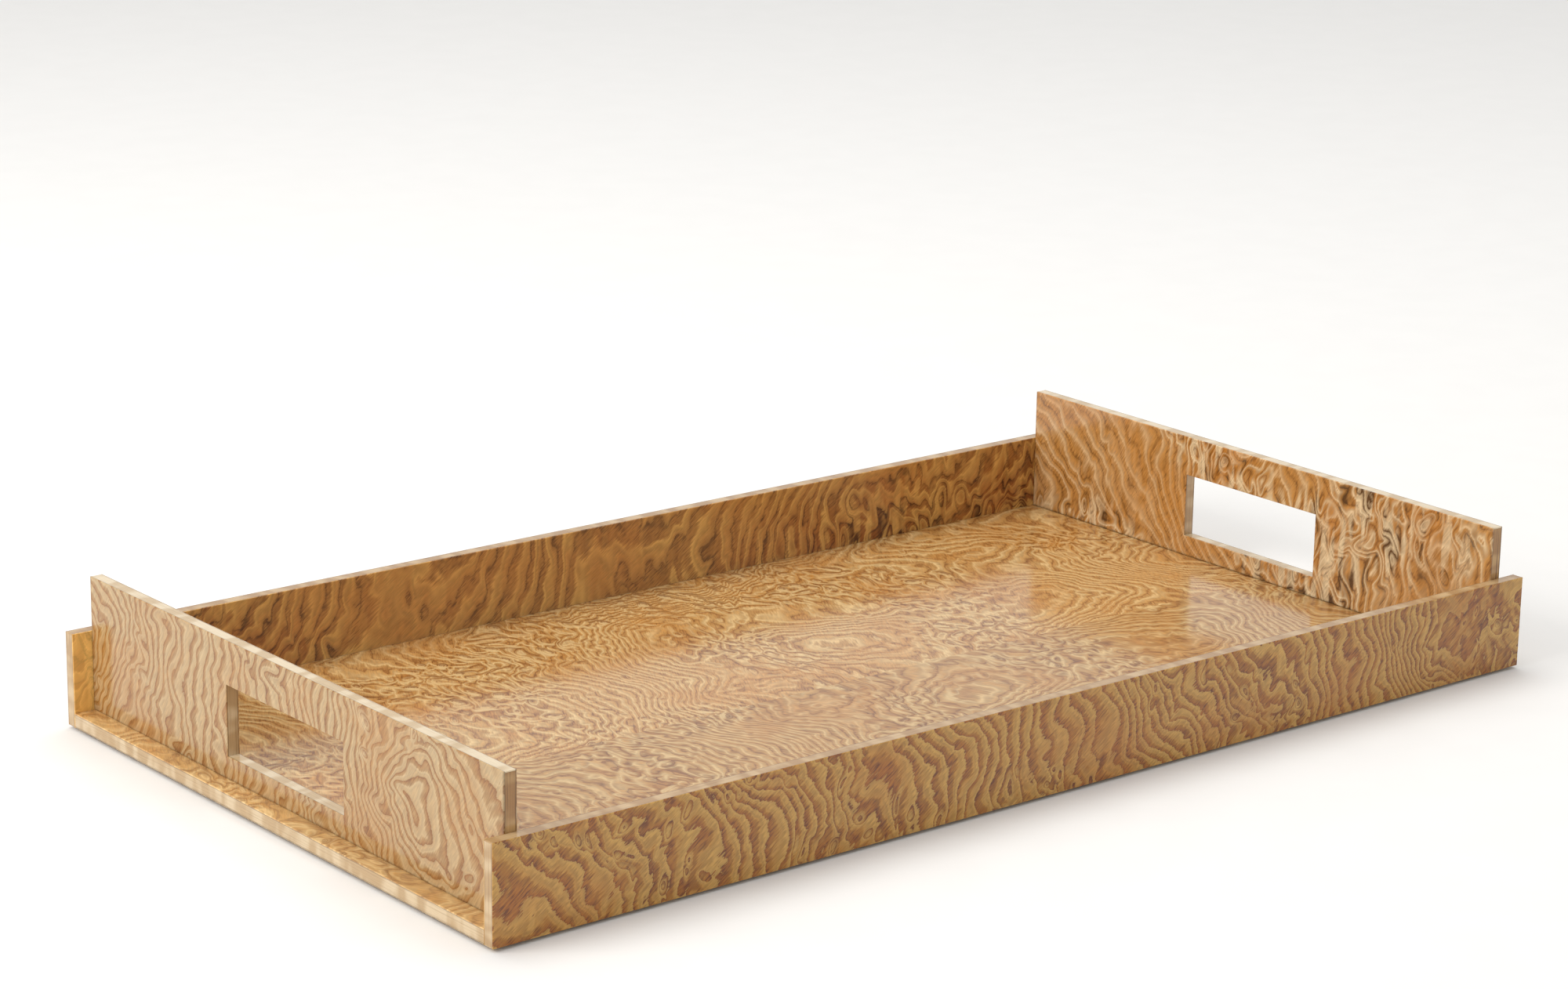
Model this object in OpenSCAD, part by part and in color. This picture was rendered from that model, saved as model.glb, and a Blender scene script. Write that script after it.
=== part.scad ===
// Serving tray built of veneered boards. The base lies between two long sides, and two taller end
// panels with hand holes stand on it, set in from its ends by a narrow ledge. Every board is a core
// with a veneer on each face and bands on its edges, and hidden dowels join the boards.
// X runs along the length, Y from front to back and Z up. The origin is the middle of the underside.

/* [Tray] */
// Overall length
tray_length = 610; // [480:1:700]
// Overall width
tray_width = 340; // [280:1:420]
// Height of the long sides above the base's underside
side_height = 45; // [38:1:60]
// Height of the end panels' tops above the base's underside
end_height = 71; // [63:1:90]
// Thickness of the sides and ends, veneers included
wall_thickness = 6.5; // [6:0.1:9]
// Thickness of the base, veneers included
base_thickness = 7; // [6.5:0.1:10]
// Width of the ledge outside each end panel
ledge_width = 10; // [4:0.5:20]

/* [Hand holes] */
// Width of each opening
hole_width = 93; // [80:1:110]
// Height of each opening
hole_height = 33; // [28:0.5:36]
// Height of the opening's lower edge above the base's underside
hole_rise = 17.5; // [16:0.5:20]

/* [Veneers] */
// Thickness of the veneers, edge bands and hole linings
veneer = 0.5; // [0.4:0.1:0.7]
// Place of the seam between the two leaves of the deck, measured from the middle
seam_y = -11; // [-60:1:60]

/* [Dowels] */
// Diameter of the dowels
dowel_diameter = 3; // [2:0.5:4]
// Length of the dowels
dowel_length = 16; // [12:1:20]
// Depth of a dowel in the board whose face it enters
dowel_depth = 4.5; // [3:0.5:5]
// Number of dowels between the base and each long side
side_dowel_count = 6; // [4:1:8]

/* [Pads] */
// Diameter of the felt pads
pad_diameter = 16; // [10:1:24]
// Thickness of the felt pads
pad_height = 1.5; // [1:0.5:3]
// Distance from a pad's centre to the tray's edges
pad_inset = 32; // [20:1:60]

/* [Hidden] */
$fn = 48;

// Planes of the tray
half_length = tray_length / 2;
half_width = tray_width / 2;
under_z = pad_height;
deck_z = under_z + base_thickness;
side_z = under_z + side_height;
end_z = under_z + end_height;
side_in_y = half_width - wall_thickness;
end_out_x = half_length - ledge_width;
end_in_x = end_out_x - wall_thickness;

// The hand hole, as seen and as cut in the core for its lining
hole_half = hole_width / 2;
hole_low_z = under_z + hole_rise;
hole_high_z = hole_low_z + hole_height;
end_board_width = side_in_y - hole_half;

// Dowel places
side_dowel_pitch = tray_length / side_dowel_count;
side_dowel_xs = [for (i = [0:side_dowel_count - 1]) (i + 0.5) * side_dowel_pitch - half_length];
side_dowel_z = under_z + base_thickness / 2;
end_mid_x = end_out_x - wall_thickness / 2;
end_dowel_ys = [for (part = [0.25, 0.75]) hole_half + part * end_board_width];
corner_dowel_zs = [for (part = [1 / 3, 2 / 3]) deck_z + part * (side_z - deck_z)];

// Colours of the woods and the felt
deck_tan = [0.79, 0.60, 0.37];
side_brown = [0.70, 0.52, 0.31];
end_beige = [0.80, 0.65, 0.46];
edge_cream = [0.88, 0.79, 0.63];
edge_straw = [0.74, 0.62, 0.44];
backing_ash = [0.76, 0.64, 0.47];
board_brown = [0.55, 0.42, 0.28];
dowel_beech = [0.84, 0.71, 0.52];
felt_brown = [0.25, 0.19, 0.14];

// A box between its lowest and highest corners
module slab(low, high) {
    translate(low)
        cube(high - low);
}

module at_back() {
    mirror([0, 1, 0])
        children();
}

module at_right() {
    mirror([1, 0, 0])
        children();
}

// ---- Dowels, which are also the cutters of their own bores ----

// A dowel from a board's face: it starts inside that board and runs towards the middle of the tray
module dowel_along_y() {
    translate([0, -side_in_y - dowel_depth, 0])
        rotate([-90, 0, 0])
            cylinder(d = dowel_diameter, h = dowel_length);
}

module side_dowels() {
    color(dowel_beech)
        for (x = side_dowel_xs)
            translate([x, 0, side_dowel_z])
                dowel_along_y();
}

module end_dowels() {
    color(dowel_beech)
        for (y = end_dowel_ys, way = [-1, 1])
            translate([-end_mid_x, way * y, deck_z - dowel_depth])
                cylinder(d = dowel_diameter, h = dowel_length);
}

module front_corner_dowels() {
    for (z = corner_dowel_zs)
        translate([-end_mid_x, 0, z])
            dowel_along_y();
}

module corner_dowels() {
    color(dowel_beech) {
        front_corner_dowels();
        at_back() front_corner_dowels();
    }
}

// ---- Base ----

module base_core() {
    color(board_brown)
        difference() {
            slab([-half_length + veneer, -side_in_y, under_z + veneer],
                 [half_length - veneer, side_in_y, deck_z - veneer]);
            side_dowels();
            at_back() side_dowels();
            end_dowels();
            at_right() end_dowels();
        }
}

module base_backing_veneer() {
    color(backing_ash)
        slab([-half_length, -side_in_y, under_z], [half_length, side_in_y, under_z + veneer]);
}

// A leaf of the deck between two places across the width
module deck_leaf(low_y, high_y) {
    color(deck_tan)
        difference() {
            slab([-half_length, low_y, deck_z - veneer], [half_length, high_y, deck_z]);
            end_dowels();
            at_right() end_dowels();
        }
}

module base_end_band() {
    color(edge_cream)
        slab([-half_length, -side_in_y, under_z + veneer],
             [-half_length + veneer, side_in_y, deck_z - veneer]);
}

// ---- Long sides, drawn at the front and mirrored to the back ----

module side_core() {
    color(board_brown)
        difference() {
            slab([-half_length + veneer, -half_width + veneer, under_z + veneer],
                 [half_length - veneer, -side_in_y - veneer, side_z - veneer]);
            side_dowels();
            corner_dowels();
            at_right() corner_dowels();
        }
}

module side_outer_veneer() {
    color(side_brown)
        slab([-half_length, -half_width, under_z], [half_length, -half_width + veneer, side_z]);
}

module side_inner_veneer() {
    color(side_brown)
        difference() {
            slab([-half_length, -side_in_y - veneer, under_z], [half_length, -side_in_y, side_z]);
            side_dowels();
            corner_dowels();
            at_right() corner_dowels();
        }
}

// A band along the core's edge, at the height given
module side_long_band(low_z) {
    color(edge_cream)
        slab([-half_length, -half_width + veneer, low_z],
             [half_length, -side_in_y - veneer, low_z + veneer]);
}

module side_end_band() {
    color(edge_straw)
        slab([-half_length, -half_width + veneer, under_z + veneer],
             [-half_length + veneer, -side_in_y - veneer, side_z - veneer]);
}

// ---- End panels, drawn at the left and mirrored to the right ----

// The hand hole, made larger all round by the amount given
module hand_hole(more) {
    slab([-half_length, -hole_half - more, hole_low_z - more],
         [0, hole_half + more, hole_high_z + more]);
}

module end_core() {
    color(board_brown)
        difference() {
            slab([-end_out_x + veneer, -side_in_y + veneer, deck_z],
                 [-end_in_x - veneer, side_in_y - veneer, end_z - veneer]);
            hand_hole(veneer);
            end_dowels();
            corner_dowels();
        }
}

// A face veneer of the end panel whose outer plane is at the place given
module end_face_veneer(low_x) {
    color(end_beige)
        difference() {
            slab([low_x, -side_in_y, deck_z], [low_x + veneer, side_in_y, end_z]);
            hand_hole(0);
        }
}

module end_top_band() {
    color(edge_cream)
        slab([-end_out_x + veneer, -side_in_y, end_z - veneer],
             [-end_in_x - veneer, side_in_y, end_z]);
}

module end_edge_band() {
    color(edge_straw)
        difference() {
            slab([-end_out_x + veneer, -side_in_y, deck_z],
                 [-end_in_x - veneer, -side_in_y + veneer, end_z - veneer]);
            corner_dowels();
        }
}

// A lining strip over or under the opening, as long as the cut in the core
module hole_long_lining(low_z) {
    color(edge_cream)
        slab([-end_out_x + veneer, -hole_half - veneer, low_z],
             [-end_in_x - veneer, hole_half + veneer, low_z + veneer]);
}

module hole_short_lining() {
    color(edge_straw)
        slab([-end_out_x + veneer, -hole_half - veneer, hole_low_z],
             [-end_in_x - veneer, -hole_half, hole_high_z]);
}

// ---- Pads ----

module felt_pads() {
    color(felt_brown)
        for (x_way = [-1, 1], y_way = [-1, 1])
            translate([x_way * (half_length - pad_inset), y_way * (half_width - pad_inset), 0])
                cylinder(d = pad_diameter, h = pad_height);
}

base_core();
base_backing_veneer();
deck_leaf(-side_in_y, seam_y);  // deck_front_leaf
deck_leaf(seam_y, side_in_y);  // deck_back_leaf
base_end_band();  // base_left_band
at_right() base_end_band();  // base_right_band

side_core();  // front_side_core
side_outer_veneer();  // front_side_outer_veneer
side_inner_veneer();  // front_side_inner_veneer
side_long_band(side_z - veneer);  // front_side_top_band
side_long_band(under_z);  // front_side_bottom_band
side_end_band();  // front_side_left_band
at_right() side_end_band();  // front_side_right_band

at_back() side_core();  // back_side_core
at_back() side_outer_veneer();  // back_side_outer_veneer
at_back() side_inner_veneer();  // back_side_inner_veneer
at_back() side_long_band(side_z - veneer);  // back_side_top_band
at_back() side_long_band(under_z);  // back_side_bottom_band
at_back() side_end_band();  // back_side_left_band
at_back() at_right() side_end_band();  // back_side_right_band

end_core();  // left_end_core
end_face_veneer(-end_out_x);  // left_end_outer_veneer
end_face_veneer(-end_in_x - veneer);  // left_end_inner_veneer
end_top_band();  // left_end_top_band
end_edge_band();  // left_end_front_band
at_back() end_edge_band();  // left_end_back_band
hole_long_lining(hole_high_z);  // left_hole_top_lining
hole_long_lining(hole_low_z - veneer);  // left_hole_bottom_lining
hole_short_lining();  // left_hole_front_lining
at_back() hole_short_lining();  // left_hole_back_lining

at_right() end_core();  // right_end_core
at_right() end_face_veneer(-end_out_x);  // right_end_outer_veneer
at_right() end_face_veneer(-end_in_x - veneer);  // right_end_inner_veneer
at_right() end_top_band();  // right_end_top_band
at_right() end_edge_band();  // right_end_front_band
at_right() at_back() end_edge_band();  // right_end_back_band
at_right() hole_long_lining(hole_high_z);  // right_hole_top_lining
at_right() hole_long_lining(hole_low_z - veneer);  // right_hole_bottom_lining
at_right() hole_short_lining();  // right_hole_front_lining
at_right() at_back() hole_short_lining();  // right_hole_back_lining

side_dowels();  // front_side_dowels
at_back() side_dowels();  // back_side_dowels
end_dowels();  // left_end_dowels
at_right() end_dowels();  // right_end_dowels
corner_dowels();  // left_corner_dowels
at_right() corner_dowels();  // right_corner_dowels

felt_pads();
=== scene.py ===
"""Serving tray in burl ash veneer: the pieces' eased meshes, their woods and lacquer, and a studio."""

from math import cos, pi, radians, sin

import bmesh
import bpy
from bpy.props import FloatProperty, FloatVectorProperty, IntProperty, PointerProperty
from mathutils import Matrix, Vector


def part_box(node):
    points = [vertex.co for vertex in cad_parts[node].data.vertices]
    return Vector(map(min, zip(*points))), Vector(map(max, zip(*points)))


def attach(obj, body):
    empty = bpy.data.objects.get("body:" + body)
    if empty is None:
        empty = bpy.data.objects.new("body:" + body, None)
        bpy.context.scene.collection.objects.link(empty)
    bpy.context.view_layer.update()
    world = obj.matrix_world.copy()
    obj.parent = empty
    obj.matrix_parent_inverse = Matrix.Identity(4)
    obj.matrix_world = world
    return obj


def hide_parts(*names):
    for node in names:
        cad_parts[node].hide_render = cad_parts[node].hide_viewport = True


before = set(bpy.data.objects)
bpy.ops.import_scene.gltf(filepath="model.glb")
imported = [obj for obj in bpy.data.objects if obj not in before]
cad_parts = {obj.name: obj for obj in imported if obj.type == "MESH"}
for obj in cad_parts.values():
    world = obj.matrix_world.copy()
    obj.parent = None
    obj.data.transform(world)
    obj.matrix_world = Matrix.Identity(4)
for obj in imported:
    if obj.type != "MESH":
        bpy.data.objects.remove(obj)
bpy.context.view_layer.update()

bl_info = {
    "name": "Veneered serving tray",
    "version": (1, 0, 0),
    "blender": (4, 5, 0),
    "location": "View3D > Sidebar > Tray",
    "description": "Builds the veneer sheets, bands, woods and lacquer of a burl ash serving tray",
    "category": "Object",
}

BODY = "root"
MM = 0.001
ORIGIN = (0.0, 0.0, 0.0)
RIGHT = (1.0, 0.0, 0.0)
BACK = (0.0, 1.0, 0.0)
FRONT = (0.0, -1.0, 0.0)
UP = (0.0, 0.0, 1.0)
# Further out than any part of the tray.
FAR = Vector((1.0, 1.0, 1.0))

# ---- Places that the frame gives ----


def low(node):
    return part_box(node)[0]


def high(node):
    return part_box(node)[1]


SEAM_Y = low("deck_back_leaf").y
DECK_Z = high("deck_back_leaf").z
UNDER_Z = low("base_backing_veneer").z
SIDE_IN_Y = high("deck_back_leaf").y
END_OUT_X = high("right_end_outer_veneer").x
END_IN_X = low("right_end_inner_veneer").x
HOLE_LOW = Vector((END_IN_X, high("left_hole_front_lining").y, low("left_hole_front_lining").z))
HOLE_HIGH = Vector((END_OUT_X, low("left_hole_back_lining").y, high("left_hole_front_lining").z))


# ---- Sizes and colours that a user would change ----


def linear(red, green, blue):
    """A colour as a painter reads it, 0 to 255, turned into the light values that shaders take."""
    parts = [value / 255 for value in (red, green, blue)]
    return [part / 12.92 if part <= 0.04045 else ((part + 0.055) / 1.055) ** 2.4 for part in parts]


def length_setting(label, about, default):
    return FloatProperty(
        name=label, description=about, default=default, min=0, unit="LENGTH", precision=5
    )


def count_setting(label, about, default, least, most):
    return IntProperty(name=label, description=about, default=default, min=least, max=most)


def colour_setting(label, about, *default):
    return FloatVectorProperty(
        name=label, description=about, default=linear(*default), size=3, subtype="COLOR", min=0, max=1
    )


def amount_setting(label, about, default, most=1.0):
    return FloatProperty(name=label, description=about, default=default, min=0, max=most)


def light_setting(label, about, default):
    return FloatProperty(name=label, description=about, default=default, min=0, unit="POWER")


class TrayShape(bpy.types.PropertyGroup):
    arris: length_setting("Arris", "Radius of the veneers' outer edges", 0.35 * MM)
    arris_steps: count_setting("Arris steps", "Facets round an eased edge", 3, 1, 6)
    pad_edge: length_setting("Pad edge", "Radius of the felt pads' rim", 0.6 * MM)
    pad_sides: count_setting("Pad sides", "Facets round a felt pad", 48, 12, 96)


WOOD_TONES = {
    "pale": "Late wood of",
    "mid": "Body of",
    "deep": "Early wood of",
    "line": "Grain lines and pores of",
    "warm": "Warm clouds in",
}


def wood_colours(wood, where, **colours):
    """A colour setting for each tone given."""
    return {
        f"{wood}_{tone}": colour_setting(
            f"{wood} {tone}".replace("_", " ").capitalize(), f"{WOOD_TONES[tone]} {where}", *colour
        )
        for tone, colour in colours.items()
    }


class TrayWoods(bpy.types.PropertyGroup):
    __annotations__ = {
        **wood_colours(
            "deck", "the deck veneer", pale=(219, 189, 135), mid=(188, 140, 76),
            deep=(155, 100, 44), line=(107, 58, 17), warm=(184, 120, 42),
        ),
        **wood_colours(
            "side", "the sides' outer faces", pale=(199, 161, 86), mid=(163, 110, 34),
            deep=(144, 81, 13), line=(93, 41, 4), warm=(163, 95, 24),
        ),
        **wood_colours(
            "side_inner", "the sides' inner faces", pale=(229, 185, 103), mid=(141, 74, 24),
            deep=(124, 64, 18), line=(76, 37, 9), warm=(158, 77, 17),
        ),
        **wood_colours(
            "end", "the ends' outer faces", pale=(204, 184, 144), mid=(168, 131, 82),
            deep=(150, 102, 48), line=(117, 68, 24), warm=(178, 122, 56),
        ),
        **wood_colours(
            "end_inner", "the ends' inner faces", pale=(230, 210, 171), mid=(188, 135, 71),
            deep=(157, 101, 44), line=(87, 55, 23), warm=(186, 118, 42),
        ),
        **wood_colours(
            "band", "the cream edge bands",
            pale=(221, 203, 171), mid=(197, 171, 131), line=(146, 112, 70),
        ),
        **wood_colours(
            "brown", "the brown edge bands",
            pale=(184, 146, 94), mid=(155, 112, 62), line=(96, 61, 28),
        ),
        "board": colour_setting("Board", "The fibreboard cores", 140, 110, 76),
        "dowel": colour_setting("Dowel", "The beech dowels", 208, 176, 130),
        "felt": colour_setting("Felt", "The felt pads", 62, 50, 40),
    }


class TrayLacquer(bpy.types.PropertyGroup):
    coat: amount_setting("Coat", "How much of the satin lacquer shows", 1.0)
    coat_roughness: amount_setting("Coat roughness", "Satin of the lacquer's surface", 0.16)
    wood_roughness: amount_setting("Wood roughness", "Roughness of the wood under the lacquer", 0.55)
    relief: length_setting("Relief", "Depth that the burl seems to have under the lacquer", 0.25 * MM)


class TrayStudio(bpy.types.PropertyGroup):
    floor: colour_setting("Floor", "The plain floor", 236, 235, 233)
    sky: amount_setting("Room light", "Strength of the pale light all round", 0.75, 5.0)
    key: light_setting("Key light", "Power of the large light at the left", 38.0)
    top: light_setting("Top light", "Power of the light overhead", 22.0)
    lens: FloatProperty(name="Lens", description="Focal length", default=92.66, unit="CAMERA")


def settings():
    return bpy.context.scene.veneered_tray


class TraySettings(bpy.types.PropertyGroup):
    shape: PointerProperty(type=TrayShape)
    woods: PointerProperty(type=TrayWoods)
    lacquer: PointerProperty(type=TrayLacquer)
    studio: PointerProperty(type=TrayStudio)


# ---- A bench for shader nodes ----


class NodeBench:
    """Adds nodes to one tree. A value given to an input is linked if it is a socket, or else set."""

    def __init__(self, tree):
        self.tree = tree

    def feed(self, socket, value):
        if isinstance(value, bpy.types.NodeSocket):
            self.tree.links.new(value, socket)
        else:
            socket.default_value = value

    def add(self, kind, inputs=None, **choices):
        node = self.tree.nodes.new("ShaderNode" + kind)
        for name, value in choices.items():
            setattr(node, name, value)
        for key, value in (inputs or {}).items():
            self.feed(node.inputs[key], value)
        return node

    def group(self, tree, inputs):
        node = self.add("Group", node_tree=tree)
        for key, value in inputs.items():
            self.feed(node.inputs[key], value)
        return node.outputs

    def math(self, operation, *values):
        return self.add("Math", dict(enumerate(values)), operation=operation).outputs[0]

    def times(self, value, factor):
        return self.math("MULTIPLY", value, factor)

    def times_plus(self, value, factor, extra):
        return self.math("MULTIPLY_ADD", value, factor, extra)

    def vector(self, operation, *values):
        node = self.add("VectorMath", dict(enumerate(values)), operation=operation)
        return node.outputs["Value" if operation in ("DOT_PRODUCT", "LENGTH") else "Vector"]

    def scale(self, vector, factor):
        return self.add("VectorMath", {"Vector": vector, "Scale": factor}, operation="SCALE").outputs[0]

    def stretch(self, vector, factors):
        return self.vector("MULTIPLY", vector, factors)

    def shrink(self, vector, size):
        return self.scale(vector, self.math("DIVIDE", 1.0, size))

    def turn(self, vector, angle):
        """Turns a vector about Z."""
        inputs = {"Vector": vector, "Axis": (0, 0, 1), "Angle": angle}
        return self.add("VectorRotate", inputs).outputs[0]

    def parts(self, vector):
        return self.add("SeparateXYZ", {0: vector}).outputs

    def join(self, x, y, z):
        return self.add("CombineXYZ", {0: x, 1: y, 2: z}).outputs[0]

    def lift(self, colour, mask, amount):
        """Brightens a colour by an amount where the mask is 1, or darkens it by a negative one."""
        return self.shade(colour, self.times_plus(mask, amount, 1.0))

    def noise(self, place, detail=1.0, roughness=0.5):
        inputs = {"Vector": place, "Scale": 1.0, "Detail": detail, "Roughness": roughness}
        return self.add("TexNoise", inputs).outputs

    def ease(self, value, start, end, first=0.0, last=1.0):
        """Runs smoothly from first to last as the value goes from start to end."""
        inputs = {"Value": value, "From Min": start, "From Max": end, "To Min": first, "To Max": last}
        return self.add("MapRange", inputs, interpolation_type="SMOOTHSTEP").outputs["Result"]

    def mix(self, factor, first, second, blend="MIX"):
        node = self.add("Mix", data_type="RGBA", blend_type=blend)
        self.feed(node.inputs["Factor"], factor)
        self.feed(node.inputs["A"], first)
        self.feed(node.inputs["B"], second)
        return node.outputs["Result"]

    def shade(self, colour, amount):
        return self.mix(1.0, colour, self.join(amount, amount, amount), "MULTIPLY")


SOCKETS = {float: "NodeSocketFloat", tuple: "NodeSocketVector", list: "NodeSocketColor"}


def effect(name, inputs, outputs, build):
    """A shader node group, built once. A float, tuple or list default makes a value, vector or
    colour."""
    tree = bpy.data.node_groups.get(name)
    if tree:
        return tree
    tree = bpy.data.node_groups.new(name, "ShaderNodeTree")
    for label, default in inputs.items():
        socket = tree.interface.new_socket(label, in_out="INPUT", socket_type=SOCKETS[type(default)])
        socket.default_value = default
    for label, kind in outputs.items():
        tree.interface.new_socket(label, in_out="OUTPUT", socket_type=SOCKETS[kind])
    bench = NodeBench(tree)
    results = build(bench, tree.nodes.new("NodeGroupInput").outputs)
    ends = tree.nodes.new("NodeGroupOutput").inputs
    for label, value in results.items():
        bench.feed(ends[label], value)
    return tree


# ---- Effects that several woods share ----

# How many features a noise has in a metre along X, along Y and along the seed.
FIBRE_DENSITY = (1100.0, 130.0, 400.0)
PORE_DENSITY = (1500.0, 190.0, 400.0)
STREAK_DENSITY = (170.0, 28.0, 1.0)
CLOUD_DENSITY = 20.0
# Smudges in a metre along the curl, and in a square metre: the longer they are, the narrower.
SMUDGE_DENSITY = 75.0
SMUDGES_PER_AREA = 5600.0
CURL_BAR_DENSITY = (90.0, 30.0, 1.0)
FINE_GRAIN_DENSITY = (150.0, 2600.0, 1.0)
GRAIN_DENSITY = (14.0, 1300.0, 1.0)
GROWTH_DENSITY = (2.5, 190.0, 1.0)
# What a wood's colours are until its maker sets them.
PLAIN_ASH = [0.6, 0.4, 0.2, 1.0]
# A noise runs from 0 to 1 round this.
MIDDLE_OF_NOISE = 0.5


def build_burl_height(bench, given):
    """Counts growth rings over the sheet: a slope, slow swells, creased curls, blisters and swirls."""
    drift = bench.noise(bench.shrink(given["Place"], given["Drift Size"]), 1.5)["Color"]
    shift = bench.vector("SUBTRACT", drift, (MIDDLE_OF_NOISE,) * 3)
    shift = bench.stretch(bench.scale(shift, given["Drift"]), (2.0, 2.0, 0.0))
    bent = bench.vector("ADD", given["Place"], shift)
    leaning = bench.turn(bent, given["Lean"])
    rings = bench.math("DIVIDE", bench.parts(leaning)[0], given["Ring Width"])
    x, y, z = bench.parts(bent)
    pulled = bench.join(bench.times(x, given["Swell Stretch"]), y, z)
    swell = bench.noise(bench.shrink(pulled, given["Swell Size"]), 0.6)[0]
    rings = bench.times_plus(swell, bench.times(given["Swell Rings"], 2.0), rings)
    for swirl in ("First Swirl", "Second Swirl"):
        radius = bench.parts(given[swirl])[2]
        apart = bench.stretch(bench.vector("SUBTRACT", bent, given[swirl]), (1.0, 1.0, 0.0))
        far = bench.math("DIVIDE", bench.vector("LENGTH", apart), radius)
        cone = bench.math("EXPONENT", bench.times(bench.math("POWER", far, 1.4), -1.6))
        rings = bench.times_plus(cone, given[swirl + " Rings"], rings)
    busy = bench.noise(bench.shrink(given["Place"], given["Patch Size"]), 0.5)[0]
    busy = bench.math("MAXIMUM", bench.ease(busy, 0.38, 0.62), given["Calm"])
    stretched = bench.join(bench.times(x, given["Curl Stretch"]), y, z)
    curl = bench.noise(bench.shrink(stretched, given["Curl Size"]), 1.4, 0.45)[0]
    curl = bench.times(bench.math("SUBTRACT", curl, MIDDLE_OF_NOISE), 2.0)
    crease = bench.math("SQRT", bench.times_plus(curl, curl, 0.003))
    crease = bench.times(crease, busy)
    rings = bench.times_plus(crease, given["Curl Rings"], rings)
    blistered = bench.shrink(stretched, given["Blister Size"])
    inputs = {"Vector": blistered, "Scale": 1.0, "Randomness": 0.9}
    cells = bench.add("TexVoronoi", inputs).outputs
    present = bench.ease(bench.add("SeparateColor", {0: cells["Color"]}).outputs[0], 0.45, 0.7)
    dome = bench.times(bench.ease(cells["Distance"], 0.05, 0.42, 1.0, 0.0), present)
    dome = bench.times(dome, busy)
    rings = bench.times_plus(dome, given["Blister Rings"], rings)
    return {"Rings": rings, "Relief": bench.times_plus(dome, 0.6, crease), "Patch": busy}


HEIGHT_INPUTS = {
    "Place": ORIGIN, "Ring Width": 0.006, "Lean": 0.0, "Drift": 0.006, "Drift Size": 0.04,
    "Swell Rings": 5.0, "Swell Size": 0.11, "Swell Stretch": 1.0, "Patch Size": 0.06, "Calm": 0.3,
    "Curl Rings": 3.2, "Curl Size": 0.026, "Curl Stretch": 1.0,
    "Blister Rings": 1.6, "Blister Size": 0.028,
    "First Swirl": UP, "First Swirl Rings": 0.0, "Second Swirl": UP, "Second Swirl Rings": 0.0,
}
# The painted sheen and painted shade compare the relief at a point with the relief this far towards the
# light.
PAINTED_SHEEN_STEP = (0.0007, 0.0010, 0.0)
FINE_LINES_PER_RING = 3.0


def build_burl_figure(bench, given):
    """Rings, fibres and pores of the burl, and how its relief tilts towards the light, for a painted
    sheen and painted shade.
    """
    outputs = dict.fromkeys(("Rings", "Relief", "Patch"), float)
    height = effect("Burl height", HEIGHT_INPUTS, outputs, build_burl_height)
    shape = {label: given[label] for label in HEIGHT_INPUTS}
    here = bench.group(height, shape)
    shape["Place"] = bench.vector("ADD", given["Place"], PAINTED_SHEEN_STEP)
    beside = bench.group(height, shape)
    turned = bench.turn(given["Place"], given["Fibre Turn"])
    fibre = bench.noise(bench.stretch(turned, FIBRE_DENSITY), 1.5, 0.6)[0]
    fringe = bench.times(bench.math("SUBTRACT", fibre, MIDDLE_OF_NOISE), given["Fringe"])
    rings = bench.math("ADD", here["Rings"], fringe)
    pores = bench.noise(bench.stretch(turned, PORE_DENSITY), 0.0)[0]
    along = bench.times(given["Curl Stretch"], SMUDGE_DENSITY)
    across = bench.math("DIVIDE", SMUDGES_PER_AREA, along)
    smeared = bench.stretch(given["Place"], bench.join(along, across, 1.0))
    streak = bench.noise(bench.stretch(given["Place"], STREAK_DENSITY), 1.0)[0]
    return {
        "Ring": bench.math("FRACT", rings),
        "Wave": bench.math("PINGPONG", bench.times(rings, 2.0), 1.0),
        "Fine Wave": bench.math("PINGPONG", bench.times(rings, 2.0 * FINE_LINES_PER_RING), 1.0),
        "Fibre": fibre,
        "Pores": bench.ease(pores, 0.52, 0.68),
        "Cloud": bench.noise(bench.scale(given["Place"], CLOUD_DENSITY), 2.0)[0],
        "Smudge": bench.noise(smeared, 2.0)[0],
        "Streak": bench.times(bench.ease(streak, 0.51, 0.64), here["Patch"]),
        "Relief": here["Relief"],
        "Calm": bench.math("SUBTRACT", 1.0, here["Patch"]),
        "Tilt": bench.math("SUBTRACT", beside["Relief"], here["Relief"]),
    }


FIGURE_PARTS = (
    "Ring", "Wave", "Fine Wave", "Fibre", "Pores", "Cloud",
    "Smudge", "Streak", "Relief", "Tilt", "Calm",
)


def burl_figure():
    inputs = {**HEIGHT_INPUTS, "Fringe": 0.45, "Fibre Turn": 0.6}
    return effect("Burl figure", inputs, dict.fromkeys(FIGURE_PARTS, float), build_burl_figure)


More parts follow.
